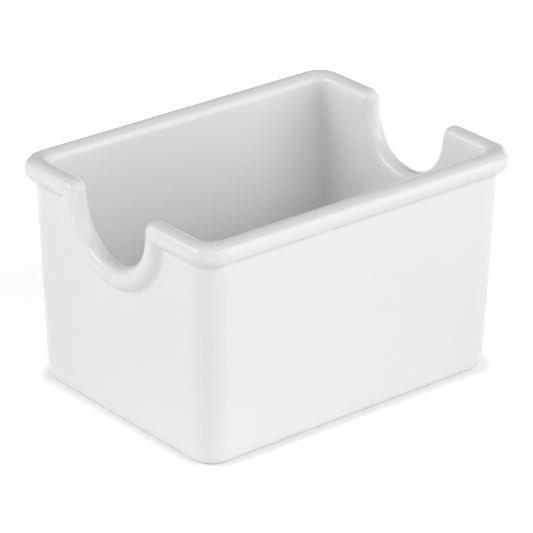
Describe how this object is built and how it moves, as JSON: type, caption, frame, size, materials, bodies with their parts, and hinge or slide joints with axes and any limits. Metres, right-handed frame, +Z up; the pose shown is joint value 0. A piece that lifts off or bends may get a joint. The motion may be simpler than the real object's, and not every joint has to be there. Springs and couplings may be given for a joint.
{
  "type": "sugar packet holder",
  "caption": "Open-topped rectangular tabletop holder for sugar packets, with a round-beaded rim and a U-shaped finger notch in each short wall.",
  "frame": {"origin": "centre of the base, on the plane that the holder stands on", "axes": "+X along the long walls, from one finger notch to the other; +Y across the packets' width; +Z up, out of the open top"},
  "size_m": [0.1016, 0.0768, 0.0603],
  "materials": {
    "holder_plastic": "gloss"
  },
  "bodies": {
    "root": {"holder_body": "holder_plastic"}
  },
  "joints": []
}
